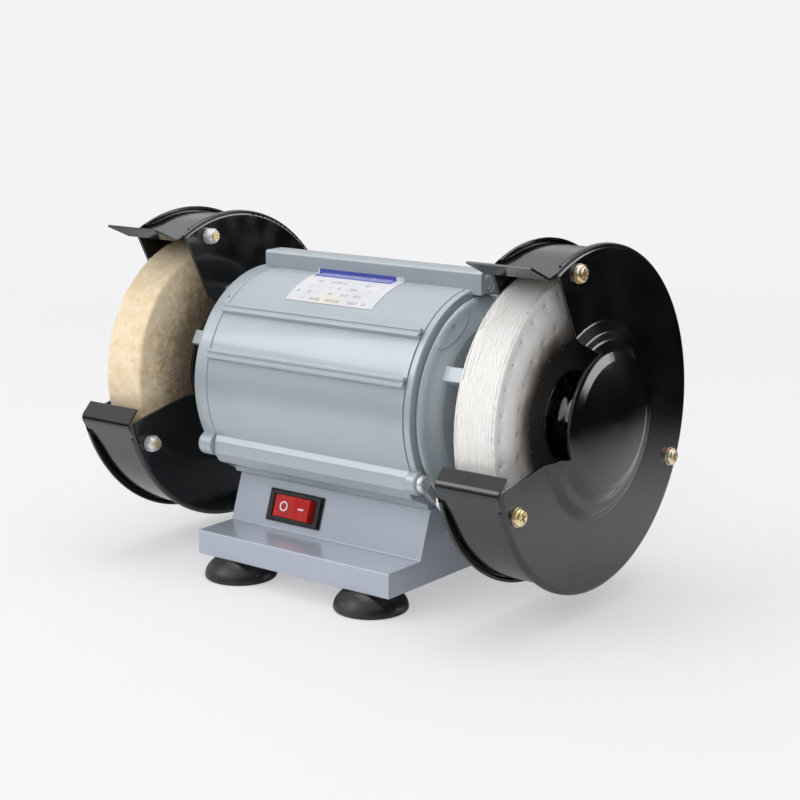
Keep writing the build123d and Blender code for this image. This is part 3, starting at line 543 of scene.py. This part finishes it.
def printed_label():
    """A white film with a blue head strip, rows of grey bars in place of words, and a yellowed patch."""
    film = Finish("printed_label", (0.85, 0.85, 0.87), 0.22, coat_weight=0.5, coat_roughness=0.1)
    along, down = label_place(film)
    tone = film.blend(film.fade(film.noise(45, 3.0), 0.4, 0.7), (0.6, 0.61, 0.64), (0.7, 0.7, 0.72))
    patch = film.fade(film.noise(70, 1.0, seed=2.2), 0.5, 0.62)
    stained = film.calc("MULTIPLY", film.band(along, 0.3, 0.62, 0.1), film.band(down, 0.78, 1.1, 0.1))
    patch = film.calc("MULTIPLY", film.calc("ADD", film.calc("MULTIPLY", patch, 0.5), 0.5), stained)
    tone = film.blend(film.calc("MULTIPLY", patch, 0.7), tone, (0.7, 0.63, 0.38))
    ink = label_rows(film, along, down)
    tone = film.blend(film.calc("MULTIPLY", ink, 0.55), tone, (0.2, 0.21, 0.26))
    head = film.calc("MULTIPLY", film.band(down, -1.0, 0.25), film.band(along, 0.02, 0.91))
    tone = film.blend(film.calc("MULTIPLY", head, 0.92), tone, (0.035, 0.06, 0.4))
    title = label_title(film, along, down)
    tone = film.blend(film.calc("MULTIPLY", title, 0.75), tone, (0.8, 0.82, 0.9))
    creases = film.bump(film.noise(80, 2.0, seed=5.0), 0.1 * MM)
    film.set(base_color=tone, normal=creases, coat_normal=creases)
    return film.material


def print_white():
    """The rocker's printed marks, slightly worn."""
    ink = Finish("print_white", (0.85, 0.78, 0.77), 0.4)
    tone = ink.blend(ink.fade(ink.noise(900, 3.0), 0.4, 0.7), (0.88, 0.82, 0.81), (0.7, 0.58, 0.57))
    ink.set(base_color=tone, normal=ink.bump(ink.noise(3000, 2.0), 0.01 * MM))
    return ink.material


def finishes():
    """The material of each slot in the record."""
    yellow = ((0.86, 0.68, 0.32), (0.9, 0.86, 0.66), (0.82, 0.5, 0.44))
    silver = ((0.8, 0.81, 0.83), (0.9, 0.91, 0.92), (0.7, 0.74, 0.82))
    return {
        "body_paint": enamel("grey_enamel", BODY_GREY, 1.0),
        "guard_paint": gloss_black("gloss_black", 2.0),
        "felt": wool_felt(),
        "cotton": cotton_cloth(),
        "rubber": black_rubber(),
        "zinc_yellow": plated("yellow_zinc", *yellow, metallic=0.85, seed=1.0),
        "zinc_silver": plated("silver_zinc", *silver, metallic=0.6, seed=6.0),
        "steel": turned_steel(),
        "lamination": laminations(),
        "copper": enamelled_copper(),
        "cast_aluminium": cast_metal(),
        "black_plastic": moulded("black_plastic", (0.008, 0.008, 0.009), (0.016, 0.016, 0.017), 0.22, 3.0),
        "red_plastic": moulded("red_plastic", (0.42, 0.008, 0.008), (0.62, 0.02, 0.015), 0.2, 4.0),
        "grey_plastic": moulded("grey_plastic", (0.3, 0.31, 0.32), (0.42, 0.43, 0.44), 0.4, 5.0),
        "label": printed_label(),
    }


def paint_frame(slots):
    """Gives each CAD node its slot's material; the base is a little more lavender than the motor."""
    base_paint = enamel("base_enamel", BASE_GREY, 8.0)
    for node, piece in frame["nodes"].items():
        piece.data.materials.clear()
        piece.data.materials.append(base_paint if node == "base_shell" else slots[SLOT_OF[node]])


# ---- felt wheel ----
def make_felt_wheel(material):
    """A matted wool wheel, whose rim tapers towards the motor and whose surface is slightly lumpy."""
    low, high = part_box("felt_wheel")
    radius = (high.z - low.z) / 2
    # from the bore on the motor's side, over the sloping rim, to the bore on the outer side
    outline = [
        (high.x, BORE_R * MM),
        (high.x, radius - 3.6 * MM),
        (high.x - 0.3 * MM, radius - 2.9 * MM),
        (high.x - 1.0 * MM, radius - 2.4 * MM),
        (low.x + 1.4 * MM, radius - 0.1 * MM),
        (low.x + 0.5 * MM, radius - 0.4 * MM),
        (low.x, radius - 1.4 * MM),
        (low.x, BORE_R * MM),
    ]
    flange_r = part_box("left_inner_flange")[1].z - SHAFT_Z
    middle = (low.x + high.x) / 2

    def shape(x, r, angle):
        free = min(1.0, max(0.0, (r - flange_r - 1 * MM) / (8 * MM)))
        place = around(x, r, angle)
        lumps = sum(noise.noise(place * scale) * height for scale, height in FELT_LUMPS)
        x += math.copysign(lumps * FELT_SIDE_SHARE * MM * free, x - middle)
        return around(x, r + lumps * MM * free, angle)

    points, faces = lathe(densified(outline, 1.2 * MM), FELT_STEPS, shape)
    wheel = new_mesh("felt_wheel_wool", points, faces)
    wheel.data.materials.append(material)
    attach(wheel, "rotor")
    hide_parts("felt_wheel")
    make_felt_hairs(material, low, high, radius)


def make_felt_hairs(material, low, high, radius):
    """Loose wool hairs that stand off the rim, whose slope they follow from one edge to the other."""
    draw = random.Random(11)
    hairs = []
    for _ in range(HAIRS):
        angle = draw.uniform(0, 2 * math.pi)
        share = draw.random()
        x = low.x + 0.6 * MM + share * (high.x - low.x - 2.4 * MM)
        r = radius - (0.5 + 1.9 * share) * MM
        turn = draw.uniform(-1.4, 1.4) * MM
        side = draw.uniform(-1.2, 1.2) * MM
        lift = draw.uniform(0.25, 0.9) * MM
        path = [around(x, r - 0.2 * MM, angle)]
        for i in (1, 2, 3):
            step = i / 3
            rise = lift * math.sin(step * draw.uniform(1.4, 2.6))
            path.append(around(x + side * step, r + rise, angle + turn * step / r))
        hairs.append(path)
    piece = tubes("felt_wheel_hairs", hairs, HAIR_R * MM, 3)
    piece.data.materials.append(material)
    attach(piece, "rotor")


# ---- cloth buff ----
def buff_half(r, angle):
    """Half the thickness of the sewn plies, in millimetres, at a radius in millimetres."""
    low, high = buff_size["hub_half"], buff_size["rim_half"]
    spread = min(1.0, max(0.0, (r - HUB_R) / (FULL_R - HUB_R)))
    half = low + (high - low) * spread
    for ring_r, count in STITCH_RINGS:
        groove = math.exp(-(((r - ring_r) / GROOVE_WIDTH) ** 2))
        turns = angle / (2 * math.pi) * count
        off = (turns - round(turns)) * 2 * math.pi * ring_r / count
        pucker = math.exp(-((off / PUCKER_LENGTH) ** 2) - ((r - ring_r) / PUCKER_WIDTH) ** 2)
        half -= GROOVE_DEPTH * groove + PUCKER_DEPTH * pucker
    return half


def ply_outline(inner_steps):
    """Evenly spaced radii from the bore to just below the rim, and the rim's own, in millimetres."""
    rim = buff_size["radius"]
    radii = [BORE_R + (rim - 1.0 - BORE_R) * i / inner_steps for i in range(inner_steps + 1)]
    return radii + [rim]


def measure_buff():
    """The buff's sizes in millimetres and the place of its middle plane in metres."""
    low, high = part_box("cloth_buff")
    inner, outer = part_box("right_inner_flange")[1].x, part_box("right_outer_flange")[0].x
    buff_size["middle"] = (inner + outer) / 2
    buff_size["hub_half"] = (outer - inner) / 2 / MM
    buff_size["rim_half"] = (high.x - low.x) / 2 / MM
    buff_size["radius"] = (high.z - low.z) / 2 / MM


def ply_surface(ply, side, r, angle):
    """A point on one side of a ply. Plies share the stack's thickness, and each has its own frayed rim."""
    rim = buff_size["radius"]
    share = (ply + (PLY_GAP if side < 0 else 1 - PLY_GAP)) / PLIES * 2 - 1
    edge = max(0.0, (r - FULL_R) / (rim - FULL_R))
    seed = Vector((math.cos(angle) * 3.0, math.sin(angle) * 3.0, ply * 5.3))
    wave = noise.noise(seed) * RIM_WAVE * edge
    fray = 0.0
    if r > rim - 0.5:
        crown = RIM_CROWN * abs(share) ** 5
        fine = Vector((math.cos(angle) * 26.0, math.sin(angle) * 26.0, ply * 9.1))
        loose = 1.0 if ply in (0, PLIES - 1) else INNER_FRAY
        fray = (noise.noise(seed * 1.7) * 0.5 + noise.noise(fine) * 0.5) * loose - crown
        share *= RIM_PINCH
    half = buff_half(r, angle)
    x = buff_size["middle"] + (share * half + wave * (1 - abs(share) ** 4)) * MM
    return around(x, (r + fray) * MM, angle)


def make_buff_plies(material):
    """The sewn plies as closed rings. The two outermost have more points, because their faces show."""
    points, faces = [], []
    for ply in range(PLIES):
        outermost = ply in (0, PLIES - 1)
        steps = BUFF_STEPS if outermost else BUFF_STEPS // 2
        radii = ply_outline(OUTER_PLY_STEPS if outermost else INNER_PLY_STEPS)
        size = 2 * len(radii)
        start = len(points)
        for i in range(steps):
            angle = 2 * math.pi * i / steps
            points += [ply_surface(ply, -1, r, angle) for r in radii]
            points += [ply_surface(ply, 1, r, angle) for r in reversed(radii)]
        faces += ring_faces(steps, size, start)
    buff = new_mesh("cloth_buff_plies", points, faces)
    buff.data.materials.append(material)
    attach(buff, "rotor")
    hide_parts("cloth_buff")


def make_buff_stitches(material):
    """Lock stitches in rings on both sides, each a short loop that dives into the cloth."""
    draw = random.Random(5)
    stitches = []
    for side in (-1, 1):
        for ring_r, count in STITCH_RINGS:
            for i in range(count):
                middle = 2 * math.pi * i / count
                path = []
                for share in (-1.0, -0.5, 0.0, 0.5, 1.0):
                    angle = middle + share * STITCH_HALF / ring_r
                    lift = 0.16 - 0.3 * share * share + draw.uniform(-0.02, 0.02)
                    x = buff_size["middle"] + side * (buff_half(ring_r, middle) + lift) * MM
                    path.append(around(x, (ring_r + 0.25 * share) * MM, angle))
                stitches.append(path)
    piece = tubes("cloth_buff_stitches", stitches, STITCH_R * MM, 6)
    piece.data.materials.append(material)
    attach(piece, "rotor")


def make_buff_fray(material):
    """Loose threads along the plies' rims, most of them on the two outer edges."""
    draw = random.Random(23)
    rim, half = buff_size["radius"], buff_size["rim_half"]
    threads = []
    for _ in range(FRAY_THREADS):
        angle = draw.uniform(0, 2 * math.pi)
        edge = draw.random() < 0.7
        side = draw.choice((-1, 1)) if edge else draw.uniform(-0.85, 0.85)
        share = side * draw.uniform(0.86, 0.99) if edge else side
        r = rim - 1.1 - RIM_CROWN * abs(share) ** 5
        length = draw.uniform(1.2, 2.6)
        lean = draw.uniform(-1.6, 1.6)
        drift = draw.uniform(-0.2, 0.9) * (1 if share > 0 else -1)
        path = []
        for i in range(4):
            step = i / 3
            reach = min(r + length * math.sin(step * 1.3), rim + 1.2)
            x = buff_size["middle"] + (share * half * RIM_PINCH + drift * step * step) * MM
            path.append(around(x, reach * MM, angle + lean * step * step / rim))
        threads.append(path)
    piece = tubes("cloth_buff_fray", threads, FRAY_R * MM, 4)
    piece.data.materials.append(material)
    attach(piece, "rotor")


# ---- marks on the rocker ----
def rocker_faces():
    """The centre and outward normal of the rocker's left and right pressing faces."""
    mesh = frame["nodes"]["switch_rocker"].data
    axis = Vector(JOINTS["rocker_tip"]["axis"]).normalized()
    across = Vector((1.0, 0.0, 0.0))
    outward = across.cross(axis).normalized()
    middle = mid_x(mesh)
    front = [f for f in mesh.polygons if f.normal.dot(outward) > 0.9]
    found = {}
    for side in (-1, 1):
        faces = [f for f in front if side * (f.center.x - middle) > 0]
        area = sum(f.area for f in faces)
        centre = sum((f.center * f.area for f in faces), Vector()) / area
        normal = sum((f.normal * f.area for f in faces), Vector()).normalized()
        found[side] = (centre, normal, axis)
    return found


def mid_x(mesh):
    """The middle of a mesh along the shaft."""
    xs = [v.co.x for v in mesh.vertices]
    return (min(xs) + max(xs)) / 2


def flat_mark(name, outline_pairs, centre, normal, up, material):
    """A raised print: a closed band of small thickness between an outer and an inner outline."""
    across = up.cross(normal).normalized()
    up = normal.cross(across)
    count = len(outline_pairs)
    points = []
    for lift in MARK_LIFT:
        for pair in outline_pairs:
            for u, v in pair:
                points.append(centre + (across * u + up * v + normal * lift) * MM)
    faces = []
    layer = 2 * count
    for i in range(count):
        j = (i + 1) % count
        outer0, inner0, outer1, inner1 = 2 * i, 2 * i + 1, 2 * j, 2 * j + 1
        faces.append((outer0, inner0, inner1, outer1))
        faces.append((layer + outer0, layer + outer1, layer + inner1, layer + inner0))
        faces.append((outer0, outer1, layer + outer1, layer + outer0))
        faces.append((inner0, layer + inner0, layer + inner1, inner1))
    mark = new_mesh(name, points, faces, smooth=False)
    mark.data.materials.append(material)
    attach(mark, "rocker")


def make_rocker_marks():
    """A ring on the rocker's left face and a bar on its right one."""
    ink = print_white()
    faces = rocker_faces()
    ring = []
    for i in range(MARK_STEPS):
        turn = 2 * math.pi * i / MARK_STEPS
        ring.append([(r * math.cos(turn), r * math.sin(turn)) for r in MARK_RING])
    centre, normal, up = faces[-1]
    flat_mark("rocker_mark_off", ring, centre, normal, up, ink)
    bar = []
    wide, tall = MARK_BAR
    for u, v in ((-wide, -tall), (wide, -tall), (wide, tall), (-wide, tall)):
        bar.append([(u, v), (u * 0.02, v * 0.02)])
    centre, normal, up = faces[1]
    flat_mark("rocker_mark_on", bar, centre, normal, up, ink)


# ---- studio ----
def area_light(name, place, target, size, power):
    """A rectangular soft light that points at its target."""
    data = bpy.data.lights.new(name, "AREA")
    data.shape = "RECTANGLE"
    data.size, data.size_y = size
    data.energy = power
    light = bpy.data.objects.new(name, data)
    light.location = place
    light.rotation_euler = (Vector(target) - Vector(place)).to_track_quat("-Z", "Y").to_euler()
    bpy.context.scene.collection.objects.link(light)
    return light


def make_floor():
    """
    A white floor that turns into plain background with distance. To the camera it's part background
    everywhere, which keeps the shadows pale. Mirror rays see it near the grinder, then a dark room, and far
    to the right and rear the foot of a bright window.
    """
    corner = FLOOR_REACH
    points = [(-corner, -corner, 0), (corner, -corner, 0), (corner, corner, 0), (-corner, corner, 0)]
    floor = new_mesh("floor", points, [(0, 1, 2, 3)], smooth=False)
    paper = Finish("floor_paper", PAPER_HIGH, 0.9, specular_ior_level=0.0)
    reach = paper.add("ShaderNodeVectorMath", "Value", {0: paper.place}, operation="LENGTH")
    mirrored = paper.add("ShaderNodeLightPath", "Is Glossy Ray")
    bounced = paper.add("ShaderNodeLightPath", "Is Diffuse Ray")
    seen = paper.calc("MULTIPLY", paper.add("ShaderNodeLightPath", "Is Camera Ray"), 1.0 - SHADOW_SHARE)
    far = paper.fade(reach, *PLAIN_FADE)
    dark = paper.calc("MULTIPLY", mirrored, paper.fade(reach, *MIRRORED_FADE))
    dim = paper.calc("MAXIMUM", paper.calc("MAXIMUM", far, dark), seen)
    grain = paper.blend(paper.noise(30, 2.0), PAPER_LOW, PAPER_HIGH)
    place = paper.nodes.new("ShaderNodeSeparateXYZ")
    paper.feed(place.inputs[0], paper.place)
    bearing = paper.calc("ARCTAN2", place.outputs[1], place.outputs[0])
    aside = paper.calc("ABSOLUTE", paper.calc("SUBTRACT", bearing, WINDOW_BEARING))
    wedge = paper.fade(aside, *WINDOW_WEDGE, start=1.0, end=0.0)
    window = paper.calc("MULTIPLY", wedge, paper.fade(reach, *WINDOW_REACH))
    window = paper.calc("MULTIPLY", paper.calc("MULTIPLY", window, mirrored), WINDOW_LEVEL)
    direct = paper.calc("SUBTRACT", 1.0, paper.calc("MAXIMUM", mirrored, bounced))
    plain = paper.calc("MAXIMUM", paper.calc("MULTIPLY", far, direct), seen)
    glow = paper.calc("ADD", window, paper.calc("MULTIPLY", plain, BACKGROUND_LEVEL))
    paper.set(base_color=paper.blend(dim, grain, (0.0, 0.0, 0.0)))
    paper.set(emission_color=BACKGROUND_COLOR, emission_strength=glow)
    floor.data.materials.append(paper.material)


def make_world():
    """
    Pale to the camera. As light it's a bright room, dark on the right and dim near the horizon, with a
    bright window that only mirror rays see.
    """
    world = bpy.data.worlds.new("studio")
    bpy.context.scene.world = world
    world.use_nodes = True
    nodes, links = world.node_tree.nodes, world.node_tree.links
    background = nodes["Background"]
    direction = nodes.new("ShaderNodeTexCoord").outputs["Generated"]

    def node(kind, output, values, **settings):
        made = nodes.new(kind)
        for name, value in settings.items():
            setattr(made, name, value)
        for key, value in values.items():
            if isinstance(value, bpy.types.NodeSocket):
                links.new(value, made.inputs[key])
            else:
                made.inputs[key].default_value = value
        return made.outputs[output]

    def times(first, second):
        return node("ShaderNodeMath", 0, {0: first, 1: second}, operation="MULTIPLY")

    def fade(value, low, high, start, end):
        levels = {"Value": value, "From Min": low, "From Max": high, "To Min": start, "To Max": end}
        return node("ShaderNodeMapRange", 0, levels, interpolation_type="SMOOTHSTEP")

    def toward(target):
        return node("ShaderNodeVectorMath", "Value", {0: direction, 1: target}, operation="DOT_PRODUCT")

    height = toward((0, 0, 1))
    right = times(fade(toward(DIM_SIDE), -0.15, 0.5, 0.0, 1.0), fade(height, 0.4, 0.8, 1.0, 0.0))
    light = times(fade(right, 0.0, 1.0, ROOM_LEVEL, DIM_LEVEL), fade(height, 0.05, 0.3, HORIZON_SHARE, 1.0))
    path = nodes.new("ShaderNodeLightPath").outputs
    flat = math.cos(WINDOW_RISE)
    center = (math.cos(WINDOW_BEARING) * flat, math.sin(WINDOW_BEARING) * flat, math.sin(WINDOW_RISE))
    window = times(fade(toward(center), *WINDOW_CONE, 0.0, 1.0), path["Is Glossy Ray"])
    light = node("ShaderNodeMath", 0, {0: light, 1: times(window, WINDOW_LEVEL)}, operation="ADD")
    level = {0: path["Is Camera Ray"], 2: light, 3: BACKGROUND_LEVEL}
    strength = node("ShaderNodeMix", 0, level, data_type="FLOAT")
    background.inputs["Color"].default_value = (*BACKGROUND_COLOR, 1.0)
    links.new(strength, background.inputs["Strength"])


def make_studio():
    """The floor, the room, and three soft lights, of which the fill has no reflection."""
    make_floor()
    make_world()
    area_light("key_softbox", (-1.0, -1.5, 1.5), (0, 0, 0.08), (1.3, 1.1), KEY_POWER)
    area_light("top_softbox", (-0.1, 0.1, 1.7), (0, 0, 0.05), (1.5, 1.2), TOP_POWER)
    fill = area_light("front_fill", (1.0, -1.4, 0.7), (0.1, 0, 0.08), (0.8, 0.8), FILL_POWER)
    fill.visible_glossy = False


def make_camera():
    """A long lens, slightly above the grinder and to the right of its front."""
    data = bpy.data.cameras.new("camera")
    data.lens = LENS
    data.sensor_width = SENSOR
    data.clip_start, data.clip_end = 0.01, 100.0
    camera = bpy.data.objects.new("camera", data)
    camera.location = CAMERA_PLACE
    tilt = (math.radians(90 + CAMERA_PITCH), 0.0, math.radians(CAMERA_AZIMUTH))
    camera.rotation_euler = Euler(tilt)
    bpy.context.scene.collection.objects.link(camera)
    bpy.context.scene.camera = camera
    bpy.context.scene.view_settings.view_transform = "Standard"


slots = finishes()
paint_frame(slots)
make_felt_wheel(slots["felt"])
measure_buff()
make_buff_plies(slots["cotton"])
make_buff_stitches(sewing_thread())
make_buff_fray(frayed_thread())
make_rocker_marks()
make_studio()
make_camera()
